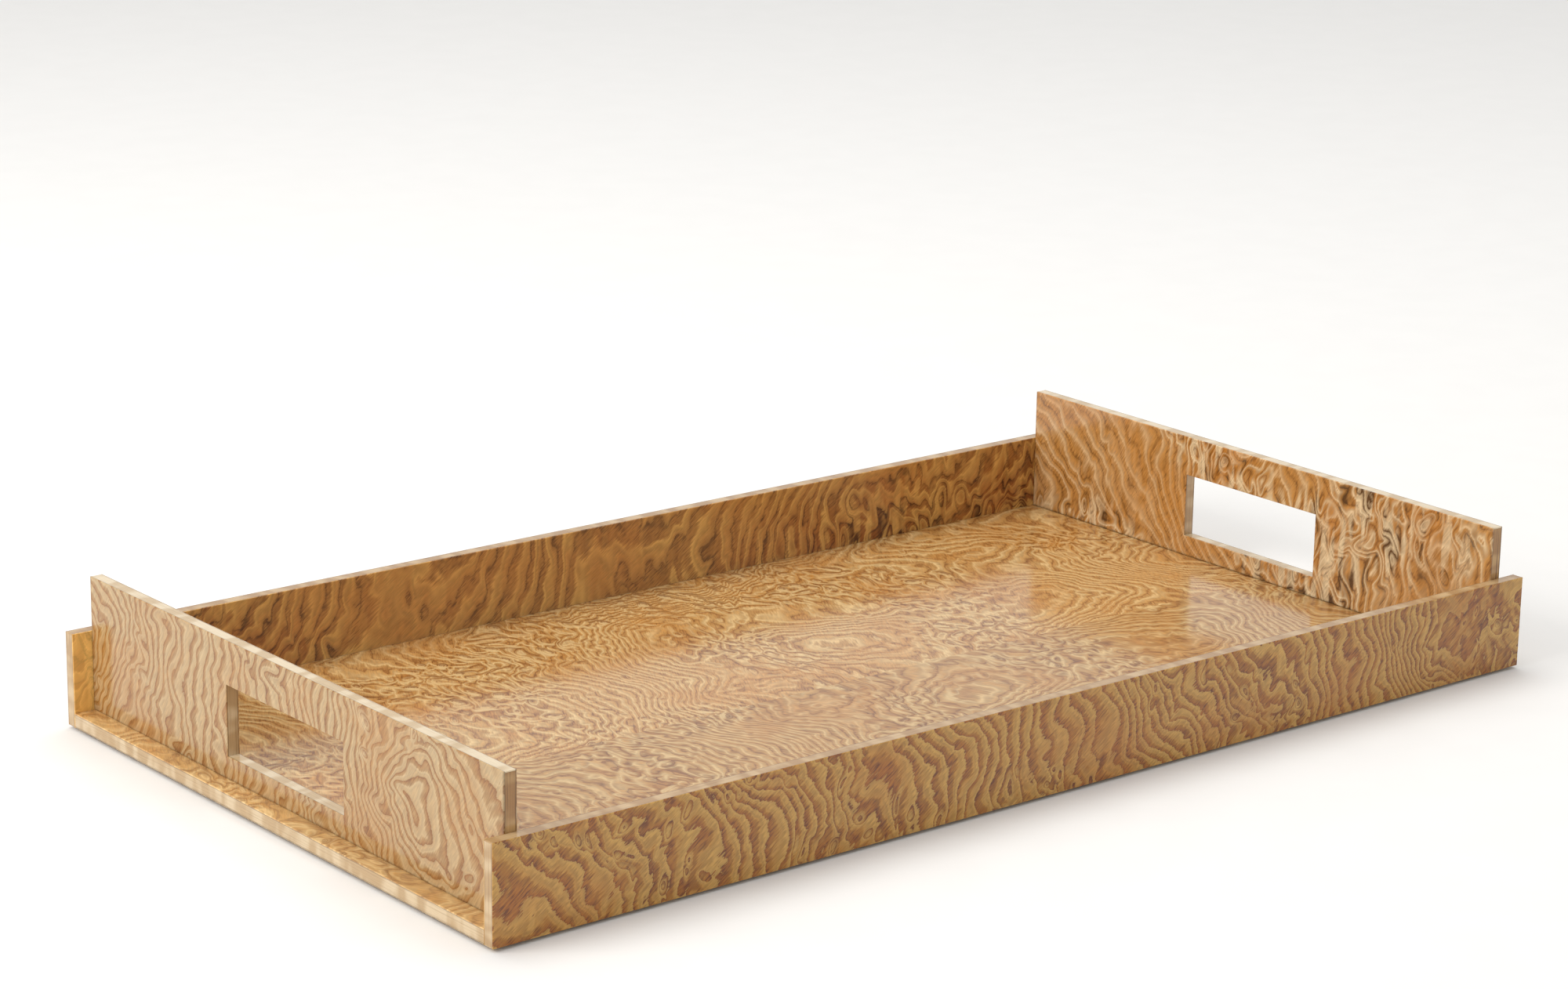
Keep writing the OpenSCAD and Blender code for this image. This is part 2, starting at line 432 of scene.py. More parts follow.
def build_veneer_tone(bench, given):
    """Colours the figure: sawtooth rings, warm clouds, dark lines, smudges and pores, with painted
    highlights on the raised curls and blisters, and a painted sheen and painted shade where the relief
    tilts towards or away from the light.
    """
    ring = bench.add("Mix", {0: given["Softness"], 2: given["Ring"], 3: given["Wave"]}).outputs[0]
    wood = bench.mix(bench.ease(ring, 0.0, 0.55), given["Deep"], given["Mid"])
    wood = bench.mix(bench.ease(ring, 0.45, 0.95), wood, given["Pale"])
    cloud = bench.times(bench.ease(given["Cloud"], 0.42, 0.68), given["Warmth"])
    wood = bench.mix(cloud, wood, given["Warm"])
    wood = bench.mix(bench.times(given["Calm"], given["Calm Fade"]), wood, given["Mid"])
    wood = bench.mix(bench.times(given["Calm"], given["Calm Glow"]), wood, given["Pale"])
    # Painted highlight: paler where the seeming relief rises, on the blisters and the creases of the
    # curls.
    painted_ridge_highlight = bench.times(bench.ease(given["Relief"], 0.25, 0.8), given["Glow"])
    wood = bench.mix(painted_ridge_highlight, wood, given["Pale"])
    wood = bench.mix(bench.times(given["Streak"], given["Streaks"]), wood, given["Pale"])
    line = bench.times(bench.ease(ring, 0.03, 0.32, 1.0, 0.0), bench.ease(ring, 0.0, 0.03))
    patchy = bench.ease(given["Smudge"], 0.36, 0.62, 0.25, 1.0)
    busy = bench.ease(given["Calm"], 0.25, 0.75, 1.0, 0.5)
    line = bench.times(line, bench.times(patchy, busy))
    line = bench.times(line, given["Line Strength"])
    wood = bench.mix(line, wood, given["Line"])
    smudge = bench.ease(given["Smudge"], 0.5, 0.66)
    smudge = bench.times(smudge, bench.ease(ring, 0.0, 0.7, 1.0, 0.2))
    smudge = bench.times(smudge, bench.ease(given["Calm"], 0.2, 0.7, 1.0, 0.3))
    wood = bench.mix(bench.times(smudge, given["Smudges"]), wood, given["Line"])
    early = bench.ease(ring, 0.1, 0.75, 1.0, 0.15)
    pores = bench.times(bench.times(given["Pores"], early), given["Pore Strength"])
    wood = bench.mix(pores, wood, given["Line"])
    fine = bench.math("SUBTRACT", bench.ease(given["Fine Wave"], 0.0, 1.0), 0.5)
    fine = bench.times(fine, bench.ease(given["Smudge"], 0.35, 0.6, 0.3, 1.2))
    wood = bench.lift(wood, fine, given["Fine Lines"])
    wood = bench.shade(wood, bench.ease(given["Fibre"], 0.25, 0.75, 0.86, 1.13))
    # Painted sheen and painted shade: paler where the relief rises towards the light, darker where it
    # falls away from it.
    painted_sheen = bench.times(given["Tilt"], given["Painted Sheen"])
    wood = bench.mix(bench.add("Clamp", {0: painted_sheen, 1: 0.0, 2: 0.7}).outputs[0], wood, given["Pale"])
    painted_shade_away = bench.add("Clamp", {0: bench.times(painted_sheen, -1.0), 1: 0.0, 2: 0.5}).outputs[0]
    wood = bench.mix(painted_shade_away, wood, given["Line"])
    return {"Color": bench.shade(wood, given["Shade"])}


def veneer_tone():
    inputs = {
        **dict.fromkeys(FIGURE_PARTS, 0.5),
        **dict.fromkeys(("Pale", "Mid", "Deep", "Line", "Warm"), PLAIN_ASH),
        "Warmth": 0.3,
        "Glow": 0.3,
        "Streaks": 0.0,
        "Smudges": 0.2,
        "Line Strength": 0.6,
        "Pore Strength": 0.4,
        "Softness": 0.0,
        "Fine Lines": 0.06,
        "Painted Sheen": 1.2,
        "Calm Fade": 0.0,
        "Calm Glow": 0.0,
        "Shade": 1.0,
    }
    return effect("Veneer tone", inputs, {"Color": list}, build_veneer_tone)


def build_edge_wear_and_shade(bench, given):
    """How near a point is to the nearest side of a box: 1 at the side and 0 beyond the reach."""
    above = bench.parts(bench.vector("SUBTRACT", given["Place"], given["Low"]))
    below = bench.parts(bench.vector("SUBTRACT", given["High"], given["Place"]))
    nearest = bench.math("MINIMUM", above[0], below[0])
    for gap in (above[1], below[1], above[2], below[2]):
        nearest = bench.math("MINIMUM", nearest, bench.math("ABSOLUTE", gap))
    rough = bench.noise(bench.scale(given["Place"], 260.0), 2.0)[0]
    reach = bench.times(given["Reach"], bench.times_plus(rough, 1.2, 0.4))
    near = bench.math("DIVIDE", bench.math("ABSOLUTE", nearest), reach)
    return {"Wear": bench.ease(near, 0.2, 1.0, 1.0, 0.0)}


def edge_wear_and_shade():
    inputs = {"Place": ORIGIN, "Low": (-1.0, -1.0, -1.0), "High": (1.0, 1.0, 1.0), "Reach": MM}
    return effect("Edge wear and shade", inputs, {"Wear": float}, build_edge_wear_and_shade)


def near_sides(bench, place, box, reach):
    inputs = {"Place": place, "Low": box[0], "High": box[1], "Reach": reach}
    return bench.group(edge_wear_and_shade(), inputs)["Wear"]


def build_lacquer_skin(bench, given):
    """Fine unevenness of a rubbed lacquer: soft ripple, dust nibs and faint hairlines."""
    ripple = bench.noise(bench.scale(given["Place"], 90.0), 2.0)[0]
    nibs = bench.ease(bench.noise(bench.scale(given["Place"], 1500.0), 0.0)[0], 0.72, 0.8)
    hair = bench.noise(bench.stretch(given["Place"], (40.0, 2200.0, 900.0)), 1.0)[0]
    height = bench.times_plus(nibs, 0.4, ripple)
    uneven = bench.math("SUBTRACT", ripple, MIDDLE_OF_NOISE)
    satin = bench.times_plus(uneven, 0.2, given["Roughness"])
    satin = bench.times_plus(bench.ease(hair, 0.6, 0.75), 0.05, satin)
    return {"Roughness": bench.times_plus(given["Wear"], 0.15, satin), "Height": height}


def lacquer_skin():
    inputs = {"Place": ORIGIN, "Roughness": 0.5, "Wear": 0.0}
    return effect("Lacquer skin", inputs, {"Roughness": float, "Height": float}, build_lacquer_skin)


# ---- Woods ----


def new_material(name):
    """An empty material with its bench, its shader and the place of a point on the tray."""
    material = bpy.data.materials.new(name)
    material.use_nodes = True
    tree = material.node_tree
    tree.nodes.clear()
    bench = NodeBench(tree)
    shader = bench.add("BsdfPrincipled")
    output = bench.add("OutputMaterial")
    tree.links.new(shader.outputs[0], output.inputs["Surface"])
    place = bench.add("TexCoord").outputs["Object"]
    return material, bench, shader, place


def sheet_place(bench, place, along, across, origin, seed):
    """A point's place on a sheet: X along the first direction, Y across, and the seed as Z."""
    moved = bench.vector("SUBTRACT", place, origin)
    x = bench.vector("DOT_PRODUCT", moved, along)
    y = bench.vector("DOT_PRODUCT", moved, across)
    return bench.join(x, y, seed)


def surfaced(bench, shader, colour, roughness, height, depth, under=None):
    """Gives a shader its colour, roughness and relief, on top of the relief under it."""
    bump = bench.add("Bump", {"Height": height, "Distance": depth})
    if under:
        bench.feed(bump.inputs["Normal"], under)
    bench.feed(shader.inputs["Base Color"], colour)
    bench.feed(shader.inputs["Roughness"], roughness)
    bench.feed(shader.inputs["Normal"], bump.outputs[0])


WOOD_BUMP = 0.6
RIPPLE_DEPTH = 0.01 * MM
LACQUER_IOR = 1.55
# Wood reflects hardly anything where lacquer wets it.
WET_WOOD_SPECULAR = 0.05


def lacquered(bench, shader, place, colour, wear, height, relief):
    """Gives a shader the wood's colour and relief, under satin lacquer."""
    lacquer = settings().lacquer
    inputs = {"Place": place, "Roughness": lacquer.wood_roughness, "Wear": wear}
    skin = bench.group(lacquer_skin(), inputs)
    inputs = {"Height": height, "Distance": relief, "Strength": WOOD_BUMP}
    under = bench.add("Bump", inputs).outputs[0]
    surfaced(bench, shader, colour, skin["Roughness"], skin["Height"], RIPPLE_DEPTH, under)
    shader.inputs["Coat Weight"].default_value = lacquer.coat
    shader.inputs["Coat Roughness"].default_value = lacquer.coat_roughness
    shader.inputs["Coat IOR"].default_value = LACQUER_IOR
    shader.inputs["Specular IOR Level"].default_value = WET_WOOD_SPECULAR


# Each wood's figure, in metres and rings. A swirl is its centre on the sheet and its radius.
FIGURES = {
    "deck": {
        "Ring Width": 0.012, "Lean": 0.5, "Drift": 0.012, "Drift Size": 0.035,
        "Swell Rings": 17.0, "Swell Size": 0.1, "Swell Stretch": 0.65, "Patch Size": 0.09, "Calm": 0.3,
        "Curl Rings": 3.6, "Curl Size": 0.015, "Curl Stretch": 1.5,
        "Blister Rings": 2.4, "Blister Size": 0.0125, "Fringe": 0.25, "Fibre Turn": 0.5,
        "First Swirl": (-0.03, 0.07, 0.13), "First Swirl Rings": 21.0,
        "Second Swirl": (0.25, 0.11, 0.08), "Second Swirl Rings": 12.0,
    },
    "side": {
        "Ring Width": 0.0078, "Lean": -0.4, "Drift": 0.016, "Drift Size": 0.03,
        "Swell Rings": 5.0, "Swell Size": 0.1, "Patch Size": 0.08, "Calm": 0.25,
        "Curl Rings": 2.2, "Curl Size": 0.014, "Curl Stretch": 1.6,
        "Blister Rings": 1.8, "Blister Size": 0.012, "Fringe": 0.55, "Fibre Turn": 0.95,
        "First Swirl": (0.245, 0.022, 0.055), "First Swirl Rings": 7.0,
        "Second Swirl": (-0.32, 0.0, 0.05), "Second Swirl Rings": 5.0,
    },
    "side_inner": {
        "Ring Width": 0.013, "Lean": 0.7, "Drift": 0.009, "Drift Size": 0.04,
        "Swell Rings": 8.0, "Swell Size": 0.12, "Patch Size": 0.13, "Calm": 0.2,
        "Curl Rings": 5.0, "Curl Size": 0.026, "Curl Stretch": 2.0,
        "Blister Rings": 2.8, "Blister Size": 0.03, "Fringe": 0.3, "Fibre Turn": 0.95,
    },
    "end": {
        "Ring Width": 0.016, "Lean": 0.15, "Drift": 0.012, "Drift Size": 0.03,
        "Swell Rings": 4.0, "Swell Size": 0.08, "Patch Size": 0.06, "Calm": 0.5,
        "Curl Rings": 3.0, "Curl Size": 0.018,
        "Blister Rings": 1.8, "Blister Size": 0.013, "Fringe": 0.25, "Fibre Turn": 0.6,
        "First Swirl": (0.098, 0.028, 0.08), "First Swirl Rings": 14.0,
        "Second Swirl": (-0.17, 0.03, 0.12), "Second Swirl Rings": -16.0,
    },
    "end_inner": {
        "Ring Width": 0.0095, "Lean": -0.6, "Drift": 0.012, "Drift Size": 0.03,
        "Swell Rings": 5.0, "Swell Size": 0.09, "Patch Size": 0.08, "Calm": 0.15,
        "Curl Rings": 5.0, "Curl Size": 0.024, "Curl Stretch": 1.8,
        "Blister Rings": 2.4, "Blister Size": 0.022, "Fringe": 0.3, "Fibre Turn": 0.6,
        "First Swirl": (0.15, 0.0, 0.07), "First Swirl Rings": 8.0,
    },
}
# How strongly each wood shows its tones. Glow is a painted highlight on the raised relief, and the
# sheen a painted highlight and painted shade where the relief tilts towards or away from the light.
TONES = {
    "deck": {
        "Warmth": 0.55, "Glow": 0.55, "Line Strength": 0.38, "Pore Strength": 0.5, "Smudges": 0.4,
        "Softness": 0.6, "Fine Lines": 0.2, "Painted Sheen": 4.5, "Calm Glow": 0.15,
    },
    "side": {
        "Warmth": 0.4, "Glow": 0.35, "Line Strength": 0.5, "Pore Strength": 0.8, "Smudges": 0.45,
        "Softness": 0.25, "Fine Lines": 0.2,
    },
    "side_inner": {
        "Warmth": 0.5, "Glow": 0.7, "Line Strength": 1.0, "Pore Strength": 0.5, "Smudges": 1.1,
        "Streaks": 0.5, "Softness": 0.45, "Fine Lines": 0.22, "Calm Glow": 0.35, "Painted Sheen": 3.0,
    },
    "end": {
        "Warmth": 0.35, "Glow": 0.35, "Line Strength": 0.45, "Pore Strength": 0.35, "Smudges": 0.25,
        "Softness": 0.4, "Fine Lines": 0.12,
    },
    "end_inner": {
        "Warmth": 0.5, "Glow": 0.6, "Line Strength": 0.35, "Pore Strength": 0.45, "Smudges": 1.3,
        "Streaks": 0.7, "Softness": 0.65, "Fine Lines": 0.2, "Painted Sheen": 2.5, "Calm Fade": 0.65,
    },
}
WORN_ARRIS = 0.9 * MM
# How far from a joint the dust and painted shade reach.
DUST_AND_JOINT_SHADE_REACH = 1.3 * MM


def burl_veneer(
    name, wood, along, across, origin, seed, box, window=None, painted_outside_light=0.0, shade=1.0
):
    """Burl ash under satin lacquer. wood picks the figure, the tones and the colours. box is the
    sheet's own box, for its worn arris, and window the box of the part that other boards leave open,
    whose rim is darkened by dust in the joint and by painted shade in the corner. After the window
    comes how much painted light pales and brightens what stands outside the end panels."""
    woods = settings().woods
    material, bench, shader, place = new_material(name)
    on_sheet = sheet_place(bench, place, along, across, origin, seed)
    rings = bench.group(burl_figure(), {"Place": on_sheet, **FIGURES[wood]})
    colours = {
        tone.capitalize(): list(getattr(woods, f"{wood}_{tone}")) + [1.0] for tone in WOOD_TONES
    }
    measures = {label: rings[label] for label in FIGURE_PARTS}
    tones = {**measures, **colours, **TONES[wood], "Shade": shade}
    colour = bench.group(veneer_tone(), tones)["Color"]
    wear = near_sides(bench, place, box, WORN_ARRIS)
    colour = bench.lift(colour, wear, 0.06)
    # Dust in the joint and painted shade in the corner: darker near the rim of the part that other
    # boards leave open.
    if window:
        dust_and_joint_shade = near_sides(bench, place, window, DUST_AND_JOINT_SHADE_REACH)
        colour = bench.lift(colour, dust_and_joint_shade, -0.35)
    # Painted light: outside the end panels the wood is painted paler and brighter, where the panels no
    # longer shade it.
    if painted_outside_light:
        from_middle = bench.math("ABSOLUTE", bench.parts(place)[0])
        outside = bench.ease(from_middle, END_IN_X, END_OUT_X, 0.0, painted_outside_light)
        colour = bench.mix(outside, colour, colours["Pale"])
        colour = bench.lift(colour, outside, 0.6)
    lacquered(bench, shader, place, colour, wear, rings["Relief"], settings().lacquer.relief)
    return material


# ---- Meshes ----

AXES = {"X": 0, "Y": 1, "Z": 2}
CELL_CORNERS = ((0, 0), (1, 0), (1, 1), (0, 1))
TOLERANCE = 1e-7
SMOOTH_ANGLE = radians(40)


def clear_of_skin(corner_low, corner_high, axis):
    """A box opened far out along one axis, so that only the sheet's own rim counts as an edge."""
    opened_low, opened_high = Vector(corner_low), Vector(corner_high)
    opened_low[axis] -= 1.0
    opened_high[axis] += 1.0
    return opened_low, opened_high


def sheet_mesh(name, box_low, box_high, show, eased, hole=None):
    """A veneer sheet. show is its outward axis such as "-Y"; eased lists the rims of the show face to
    round, by axis such as "+X", and "hole" for the rim of the opening."""
    shape = settings().shape
    thick = AXES[show[1]]
    first, second = [axis for axis in (0, 1, 2) if axis != thick]
    outward = 1 if show[0] == "+" else -1
    stops = []
    for axis in (first, second):
        places = [box_low[axis], box_high[axis]]
        if hole:
            places[1:1] = [hole[0][axis], hole[1][axis]]
        stops.append(places)
    depths = (box_low[thick], box_high[thick])
    front = depths[1] if outward > 0 else depths[0]
    cells = [
        (i, j)
        for i in range(len(stops[0]) - 1)
        for j in range(len(stops[1]) - 1)
        if not (hole and (i, j) == (1, 1))
    ]
    mesh = bpy.data.meshes.new(name)
    shell = bmesh.new()
    corners = {}

    def corner(i, j, depth):
        if (i, j, depth) not in corners:
            point = [0.0, 0.0, 0.0]
            point[first], point[second], point[thick] = stops[0][i], stops[1][j], depth
            corners[i, j, depth] = shell.verts.new(point)
        return corners[i, j, depth]

    for i, j in cells:
        for depth in depths:
            shell.faces.new([corner(i + a, j + b, depth) for a, b in CELL_CORNERS])
        for (a, b), (c, d) in zip(CELL_CORNERS, CELL_CORNERS[1:] + CELL_CORNERS[:1]):
            if (i + a + c - 1, j + b + d - 1) in cells:
                continue
            rim = [corner(i + a, j + b, depths[0]), corner(i + c, j + d, depths[0])]
            rim += [corner(i + c, j + d, depths[1]), corner(i + a, j + b, depths[1])]
            shell.faces.new(rim)
    bmesh.ops.recalc_face_normals(shell, faces=shell.faces)

    def rim_names(edge):
        """Which rims of the show face an edge lies on."""
        ends = [vert.co for vert in edge.verts]
        if any(abs(end[thick] - front) > TOLERANCE for end in ends):
            return set()
        names = set()
        for axis in (first, second):
            letter = "XYZ"[axis]
            for sign, place in (("-", box_low[axis]), ("+", box_high[axis])):
                if all(abs(end[axis] - place) < TOLERANCE for end in ends):
                    names.add(sign + letter)
        if hole and not names and any(abs(face.normal[thick]) < 0.5 for face in edge.link_faces):
            names.add("hole")
        return names

    rounded = [edge for edge in shell.edges if rim_names(edge) & set(eased)]
    if rounded:
        bmesh.ops.bevel(
            shell, geom=rounded, offset=shape.arris, segments=shape.arris_steps,
            profile=0.5, affect="EDGES",
        )
    shell.to_mesh(mesh)
    shell.free()
    return mesh


def finish_piece(name, mesh, material, nodes):
    """Makes the object for a mesh, and sets what it rides on, what it stands for and its finish."""
    piece = bpy.data.objects.new(name, mesh)
    bpy.context.scene.collection.objects.link(piece)
    mesh.materials.append(material)
    mesh.polygons.foreach_set("use_smooth", [True] * len(mesh.polygons))
    mesh.set_sharp_from_angle(angle=SMOOTH_ANGLE)
    piece.modifiers.new("Flat faces stay flat", "WEIGHTED_NORMAL").keep_sharp = True
    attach(piece, BODY)
    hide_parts(*nodes)
    return piece


def veneer_piece(node, show, eased, material, hole=None):
    mesh = sheet_mesh(node + "_sheet", low(node), high(node), show, eased, hole)
    return finish_piece(node + "_sheet", mesh, material, [node])


def coat_node(node, material):
    """Gives a carried-over CAD piece its material."""
    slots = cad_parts[node].data.materials
    slots.clear()
    slots.append(material)


# ---- Operators: one for each group of like pieces ----


def well_window():
    return Vector((-END_IN_X, -SIDE_IN_Y, DECK_Z - 1)), Vector((END_IN_X, SIDE_IN_Y, DECK_Z + 1))


DECK_SEED = 8.2
# The second leaf was cut a little deeper in the log and was laid a little to one side. It is also
# painted darker: painted shade for its flipped fibres, which reflect less light.
SEED_PER_METRE = 0.3
LEAF_SLIP = 3 * MM
FRONT_LEAF_PAINTED_SHADE = 0.9
# Painted light on the deck's ledges outside the end panels.
DECK_PAINTED_OUTSIDE_LIGHT = 0.2


class TRAY_OT_deck(bpy.types.Operator):
    """Lays the two book-matched leaves of the deck, mirrored at their seam"""

    bl_idname = "tray.deck"
    bl_label = "Deck leaves"

    def execute(self, context):
        leaves = (
            ("deck_back_leaf", BACK, 0.0, 1.0),
            ("deck_front_leaf", FRONT, LEAF_SLIP, FRONT_LEAF_PAINTED_SHADE),
        )
        for node, across, slip, shade in leaves:
            box = clear_of_skin(low(node), high(node), 2)
            box[0].y -= 1.0
            box[1].y += 1.0
            material = burl_veneer(
                node + "_burl", "deck", RIGHT, across, (slip, SEAM_Y, 0.0),
                DECK_SEED + SEED_PER_METRE * slip, box, well_window(), DECK_PAINTED_OUTSIDE_LIGHT, shade,
            )
            veneer_piece(node, "+Z", ["-X", "+X"], material)
        return {"FINISHED"}


SIDE_SEEDS = {"front": 7.1, "back": 3.7}
END_SEEDS = {"left": 4.6, "right": 5.1}
INNER_FACE_SEED = 0.5
# Painted light on the sides' inner faces outside the end panels.
SIDE_PAINTED_OUTSIDE_LIGHT = 0.5


class TRAY_OT_long_sides(bpy.types.Operator):
    """Veneers both faces of the two long sides"""

    bl_idname = "tray.long_sides"
    bl_label = "Long sides"

    def execute(self, context):
        for side, out, into in (("front", "-Y", "+Y"), ("back", "+Y", "-Y")):
            for face, wood, show, eased, seed, painted_outside_light in (
                ("outer", "side", out, ["-X", "+X", "-Z", "+Z"], 0.0, 0.0),
                ("inner", "side_inner", into, ["-X", "+X", "+Z"], INNER_FACE_SEED, SIDE_PAINTED_OUTSIDE_LIGHT),
            ):
                node = f"{side}_side_{face}_veneer"
                box = clear_of_skin(low(node), high(node), 1)
                material = burl_veneer(
                    node + "_burl", wood, RIGHT, UP, (0.0, 0.0, UNDER_Z),
                    SIDE_SEEDS[side] + seed, box, painted_outside_light=painted_outside_light,
                )
                veneer_piece(node, show, eased, material)
        return {"FINISHED"}


class TRAY_OT_end_panels(bpy.types.Operator):
    """Veneers both faces of the two end panels, round their hand holes"""

    bl_idname = "tray.end_panels"
    bl_label = "End panels"

    def execute(self, context):
        window = Vector((-FAR.x, -SIDE_IN_Y, DECK_Z)), Vector((FAR.x, SIDE_IN_Y, FAR.z))
        for end, out, into in (("left", "-X", "+X"), ("right", "+X", "-X")):
            for face, wood, show, seed in (
                ("outer", "end", out, 0.0),
                ("inner", "end_inner", into, INNER_FACE_SEED),
            ):
                node = f"{end}_end_{face}_veneer"
                box = clear_of_skin(low(node), high(node), 0)
                material = burl_veneer(
                    node + "_burl", wood, FRONT, UP, (0.0, 0.0, DECK_Z),
                    END_SEEDS[end] + seed, box, window,
                )
                eased = ["-Y", "+Y", "-Z", "+Z", "hole"]
                hole = (HOLE_LOW, HOLE_HIGH)
                veneer_piece(node, show, eased, material, hole)
        return {"FINISHED"}


def build_curly_band(bench, given):
    """Pale straight grain whose curl throws soft bright bars across it. On a wide sheet the growth
    rings show as long brown streaks."""
    place = given["Place"]
    bars = bench.noise(bench.stretch(place, CURL_BAR_DENSITY), 1.5, 0.55)[0]
    fine = bench.noise(bench.stretch(place, FINE_GRAIN_DENSITY), 1.0)[0]
    grain = bench.noise(bench.stretch(place, GRAIN_DENSITY), 2.0, 0.6)[0]
    growth = bench.noise(bench.stretch(place, GROWTH_DENSITY), 2.0, 0.6)[0]
    bright = bench.times(bench.ease(bars, 0.42, 0.6), given["Curl"])
    wood = bench.mix(bright, given["Mid"], given["Pale"])
    streaks = bench.times(bench.ease(growth, 0.42, 0.62), given["Growth"])
    wood = bench.mix(streaks, wood, given["Line"])
    lines = bench.times(bench.ease(grain, 0.5, 0.7), given["Grain"])
    wood = bench.mix(lines, wood, given["Line"])
    wood = bench.shade(wood, bench.ease(fine, 0.3, 0.7, 0.95, 1.04))
    return {"Color": wood, "Relief": bars}


def curly_band():
    inputs = {
        "Place": ORIGIN,
        **dict.fromkeys(("Pale", "Mid", "Line"), PLAIN_ASH),
        "Grain": 0.4,
        "Curl": 1.0,
        "Growth": 0.0,
    }
    return effect("Curly band", inputs, {"Color": list, "Relief": float}, build_curly_band)


GLUE_REACH = 0.5 * MM
BAND_RELIEF = 0.05 * MM


def band_wood(node, name, along, across, seed, grain, brown, curl=1.0, growth=0.0):
    """An edge band. along is its length; brown runs from cream sapwood at 0 to brown wood at 1. grain,
    curl and growth are how strongly its grain lines, curl and growth rings show. Dark glue shows along
    both sides of its width."""
    woods = settings().woods
    material, bench, shader, place = new_material(name)
    on_band = sheet_place(bench, place, along, across, ORIGIN, seed)
    colours = {}
    for label in ("Pale", "Mid", "Line"):
        cream, dark = (getattr(woods, f"{kind}_{label.lower()}") for kind in ("band", "brown"))
        colours[label] = [a + brown * (b - a) for a, b in zip(cream, dark)] + [1.0]
    strengths = {"Grain": grain, "Curl": curl, "Growth": growth}
    band = bench.group(curly_band(), {"Place": on_band, **strengths, **colours})
    open_ends = FAR - Vector(across)
    glue = near_sides(bench, place, (low(node) - open_ends, high(node) + open_ends), GLUE_REACH)
    colour = bench.lift(band["Color"], glue, -0.45)
    lacquered(bench, shader, place, colour, 0.0, band["Relief"], BAND_RELIEF)
    return material


class TRAY_OT_edge_bands(bpy.types.Operator):
    """Bands the boards' edges: curly along the tops, straight-grained at the upright ends"""

    bl_idname = "tray.edge_bands"
    bl_label = "Edge bands"

    def execute(self, context):
        for number, side in enumerate(("front", "back")):
            node = f"{side}_side_top_band"
            top = band_wood(node, node + "_curl", RIGHT, BACK, 1.0 + number, grain=0.3, brown=0.75)
            veneer_piece(node, "+Z", ["-X", "+X"], top)
            node = f"{side}_side_bottom_band"
            bottom = band_wood(node, node + "_grain", RIGHT, BACK, 3.0 + number, grain=0.5, brown=0.5)
            veneer_piece(node, "-Z", ["-X", "+X"], bottom)
            for end in ("left", "right"):
                node = f"{side}_side_{end}_band"
                wood = band_wood(node, node + "_grain", UP, BACK, 5.0 + number, grain=0.5, brown=0.5)
                coat_node(node, wood)
        for number, end in enumerate(("left", "right")):
            node = f"{end}_end_top_band"
            curl = band_wood(node, node + "_curl", BACK, RIGHT, 7.0 + number, grain=0.2, brown=0.05)
            veneer_piece(node, "+Z", ["-Y", "+Y"], curl)
            node = f"base_{end}_band"
            curl = band_wood(node, node + "_curl", BACK, UP, 9.0 + number, grain=0.3, brown=0.3)
            coat_node(node, curl)
            for side in ("front", "back"):
                node = f"{end}_end_{side}_band"
                wood = band_wood(node, node + "_grain", UP, RIGHT, 11.0 + number, grain=0.9, brown=1.0)
                coat_node(node, wood)
        return {"FINISHED"}


class TRAY_OT_hole_linings(bpy.types.Operator):
    """Lines the hand holes with thin strips"""

    bl_idname = "tray.hole_linings"
    bl_label = "Hand hole linings"

    def execute(self, context):
        for end in ("left", "right"):
            hole = end + "_hole_"
            long_wood = band_wood(
                hole + "bottom_lining", hole + "long_lining", BACK, RIGHT, 13.0, grain=0.2, brown=0.1
            )
            short_wood = band_wood(
                hole + "front_lining", hole + "short_lining", UP, RIGHT, 14.0, grain=0.6, brown=0.45
            )
            for place in ("top", "bottom"):
                coat_node(f"{hole}{place}_lining", long_wood)
            for place in ("front", "back"):
                coat_node(f"{hole}{place}_lining", short_wood)
        return {"FINISHED"}


class TRAY_OT_underside(bpy.types.Operator):
    """Covers the base's underside with its balancing veneer"""

    bl_idname = "tray.underside"
    bl_label = "Underside"

    def execute(self, context):
        node = "base_backing_veneer"
        wood = band_wood(
            node, "backing_ash", RIGHT, BACK, 21.0, grain=0.7, brown=0.3, curl=0.15, growth=0.6
        )
        veneer_piece(node, "-Z", ["-X", "+X"], wood)
        return {"FINISHED"}


def fibreboard():
    """Raw fibreboard: pressed fibres with darker flecks."""
    material, bench, shader, place = new_material("fibreboard")
    board = list(settings().woods.board) + [1.0]
    fleck = bench.noise(bench.scale(place, 1400.0), 3.0, 0.7)[0]
    cloud = bench.noise(bench.scale(place, 60.0), 2.0)[0]
    wood = bench.shade(board, bench.ease(fleck, 0.3, 0.7, 0.8, 1.15))
    wood = bench.shade(wood, bench.ease(cloud, 0.3, 0.7, 0.95, 1.05))
    surfaced(bench, shader, wood, bench.ease(fleck, 0.3, 0.7, 0.95, 0.8), fleck, 0.05 * MM)
    return material


def turned_beech():
    """Beech dowel rod: straight grain with short dark flecks."""
    material, bench, shader, place = new_material("turned_beech")
    beech = list(settings().woods.dowel) + [1.0]
    grain = bench.noise(bench.stretch(place, (500.0, 500.0, 160.0)), 2.0, 0.6)[0]
    flecks = bench.ease(bench.noise(bench.scale(place, 2100.0), 1.0)[0], 0.62, 0.7)
    wood = bench.shade(beech, bench.ease(grain, 0.3, 0.7, 0.85, 1.1))
    wood = bench.lift(wood, flecks, -0.2)
    surfaced(bench, shader, wood, bench.ease(grain, 0.3, 0.7, 0.7, 0.55), grain, 0.04 * MM)
    return material


